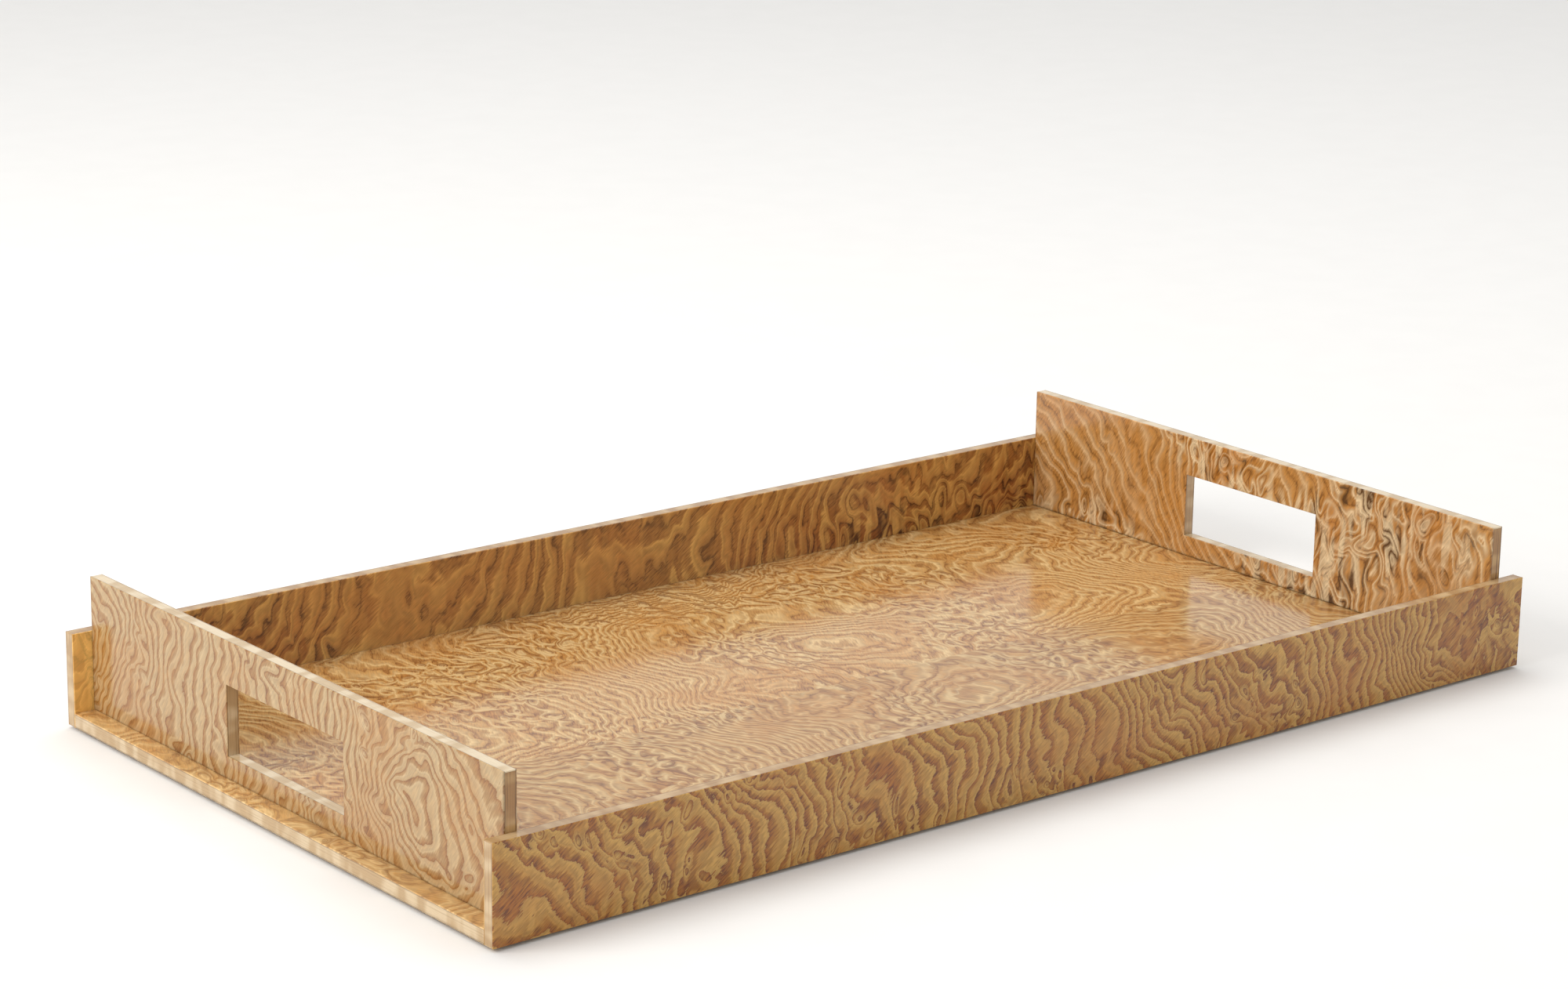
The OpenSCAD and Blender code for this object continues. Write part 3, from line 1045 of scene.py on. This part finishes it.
class TRAY_OT_boards(bpy.types.Operator):
    """Gives the hidden boards their fibreboard and the dowels their beech"""

    bl_idname = "tray.boards"
    bl_label = "Boards and dowels"

    def execute(self, context):
        board, beech = fibreboard(), turned_beech()
        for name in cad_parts:
            if name.endswith("_core"):
                coat_node(name, board)
            elif name.endswith("_dowels"):
                coat_node(name, beech)
        return {"FINISHED"}


def wool_felt():
    """Pressed wool: matted fibres, a soft sheen and paler fluff."""
    material, bench, shader, place = new_material("wool_felt")
    felt = list(settings().woods.felt) + [1.0]
    matted = bench.noise(bench.scale(place, 900.0), 4.0, 0.75)[0]
    fluff = bench.noise(bench.stretch(place, (2600.0, 700.0, 900.0)), 2.0)[0]
    wool = bench.shade(felt, bench.ease(matted, 0.3, 0.7, 0.65, 1.35))
    wool = bench.shade(wool, bench.ease(fluff, 0.55, 0.7, 1.0, 1.5))
    height = bench.math("ADD", matted, fluff)
    surfaced(bench, shader, wool, bench.ease(matted, 0.3, 0.7, 0.98, 0.88), height, 0.25 * MM)
    shader.inputs["Sheen Weight"].default_value = 0.4
    shader.inputs["Sheen Roughness"].default_value = 0.6
    return material


PAD_EDGE_STEPS = 4


def disc_mesh(name, discs, low_z, high_z, edge, sides):
    """Discs with a rounded lower rim. Each is its centre's X and Y and its radius."""
    turns = [2 * pi * k / sides for k in range(sides)]
    mesh = bpy.data.meshes.new(name)
    shell = bmesh.new()
    for x, y, radius in discs:
        profile = []
        for step in range(PAD_EDGE_STEPS + 1):
            turn = 0.5 * pi * step / PAD_EDGE_STEPS
            profile.append((radius - edge + edge * sin(turn), low_z + edge - edge * cos(turn)))
        profile.append((radius, high_z))
        rings = [
            [shell.verts.new((x + reach * cos(turn), y + reach * sin(turn), z)) for turn in turns]
            for reach, z in profile
        ]
        shell.faces.new(rings[0])
        shell.faces.new(rings[-1])
        for lower, upper in zip(rings, rings[1:]):
            for k in range(sides):
                after = (k + 1) % sides
                shell.faces.new((lower[k], lower[after], upper[after], upper[k]))
    bmesh.ops.recalc_face_normals(shell, faces=shell.faces)
    shell.to_mesh(mesh)
    shell.free()
    return mesh


class TRAY_OT_felt_pads(bpy.types.Operator):
    """Sets the four felt pads under the corners"""

    bl_idname = "tray.felt_pads"
    bl_label = "Felt pads"

    def execute(self, context):
        shape = settings().shape
        pads = {}
        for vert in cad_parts["felt_pads"].data.vertices:
            pads.setdefault((vert.co.x > 0, vert.co.y > 0), []).append(vert.co)
        discs = []
        for group in pads.values():
            xs = [point.x for point in group]
            ys = [point.y for point in group]
            radius = 0.5 * (max(xs) - min(xs))
            discs.append((0.5 * (min(xs) + max(xs)), 0.5 * (min(ys) + max(ys)), radius))
        mesh = disc_mesh(
            "felt_pad_discs", discs, low("felt_pads").z, high("felt_pads").z,
            shape.pad_edge, shape.pad_sides,
        )
        finish_piece("felt_pad_discs", mesh, wool_felt(), ["felt_pads"])
        return {"FINISHED"}


def area_light(name, place, size, power, colour):
    """A soft lamp that points at the tray."""
    light = bpy.data.lights.new(name, "AREA")
    light.shape = "RECTANGLE"
    light.size, light.size_y = size
    light.energy = power
    light.color = colour
    lamp = bpy.data.objects.new(name, light)
    lamp.location = place
    lamp.rotation_euler = (-Vector(place)).to_track_quat("-Z", "Y").to_euler()
    bpy.context.scene.collection.objects.link(lamp)


def floor_paint():
    """Plain pale studio floor with a barely uneven roller finish."""
    material, bench, shader, place = new_material("studio_floor")
    pale = list(settings().studio.floor) + [1.0]
    roller = bench.noise(bench.scale(place, 30.0), 2.0)[0]
    paint = bench.shade(pale, bench.ease(roller, 0.3, 0.7, 0.995, 1.005))
    bench.feed(shader.inputs["Base Color"], paint)
    bench.feed(shader.inputs["Roughness"], bench.ease(roller, 0.3, 0.7, 0.75, 0.85))
    shader.inputs["Specular IOR Level"].default_value = 0.2
    return material


FLOOR_REACH = 12.0
KEY_PLACE, KEY_SIZE, KEY_COLOUR = (-2.2, 0.4, 1.6), (1.8, 1.2), (1.0, 0.97, 0.93)
TOP_PLACE, TOP_SIZE, TOP_COLOUR = (0.2, 0.6, 2.4), (2.0, 1.4), (1.0, 0.99, 0.97)
CAMERA_PLACE = (-1.1615, -1.3984, 0.6138 + UNDER_Z)
CAMERA_TURN = (radians(74.161), radians(-0.89), radians(-38.949))


class TRAY_OT_studio(bpy.types.Operator):
    """Sets up the pale floor, the soft lights and the camera"""

    bl_idname = "tray.studio"
    bl_label = "Studio"

    def execute(self, context):
        studio = settings().studio
        scene = context.scene
        mesh = bpy.data.meshes.new("studio_floor")
        turns = ((-1, -1), (1, -1), (1, 1), (-1, 1))
        corners = [(x * FLOOR_REACH, y * FLOOR_REACH, 0) for x, y in turns]
        mesh.from_pydata(corners, [], [(0, 1, 2, 3)])
        mesh.materials.append(floor_paint())
        floor = bpy.data.objects.new("studio_floor", mesh)
        scene.collection.objects.link(floor)
        world = bpy.data.worlds.new("pale_room")
        world.use_nodes = True
        background = world.node_tree.nodes["Background"]
        background.inputs["Color"].default_value = (1.0, 1.0, 1.0, 1.0)
        background.inputs["Strength"].default_value = studio.sky
        scene.world = world
        area_light("key_light", KEY_PLACE, KEY_SIZE, studio.key, KEY_COLOUR)
        area_light("top_light", TOP_PLACE, TOP_SIZE, studio.top, TOP_COLOUR)
        scene.view_settings.view_transform = "Standard"
        camera_data = bpy.data.cameras.new("tray_camera")
        camera_data.lens = studio.lens
        camera_data.sensor_width = 36.0
        camera_data.clip_end = 50.0
        camera = bpy.data.objects.new("tray_camera", camera_data)
        camera.location = CAMERA_PLACE
        camera.rotation_euler = CAMERA_TURN
        scene.collection.objects.link(camera)
        scene.camera = camera
        return {"FINISHED"}


class TRAY_PT_bench(bpy.types.Panel):
    """Lists the steps that build the tray"""

    bl_idname = "TRAY_PT_bench"
    bl_label = "Veneered tray"
    bl_space_type = "VIEW_3D"
    bl_region_type = "UI"
    bl_category = "Tray"

    def draw(self, context):
        for operator in OPERATORS:
            self.layout.operator(operator.bl_idname)
        for group in ("shape", "woods", "lacquer", "studio"):
            box = self.layout.box()
            values = getattr(context.scene.veneered_tray, group)
            for name in values.__annotations__:
                box.prop(values, name)


SETTINGS = (TrayShape, TrayWoods, TrayLacquer, TrayStudio, TraySettings)
OPERATORS = (
    TRAY_OT_deck,
    TRAY_OT_long_sides,
    TRAY_OT_end_panels,
    TRAY_OT_edge_bands,
    TRAY_OT_hole_linings,
    TRAY_OT_underside,
    TRAY_OT_boards,
    TRAY_OT_felt_pads,
    TRAY_OT_studio,
)


def register():
    for kind in SETTINGS + OPERATORS + (TRAY_PT_bench,):
        bpy.utils.register_class(kind)
    bpy.types.Scene.veneered_tray = PointerProperty(type=TraySettings)


def unregister():
    del bpy.types.Scene.veneered_tray
    for kind in reversed(SETTINGS + OPERATORS + (TRAY_PT_bench,)):
        bpy.utils.unregister_class(kind)


def main():
    register()
    bpy.ops.tray.deck()
    bpy.ops.tray.long_sides()
    bpy.ops.tray.end_panels()
    bpy.ops.tray.edge_bands()
    bpy.ops.tray.hole_linings()
    bpy.ops.tray.underside()
    bpy.ops.tray.boards()
    bpy.ops.tray.felt_pads()
    bpy.ops.tray.studio()


if __name__ == "__main__":
    main()
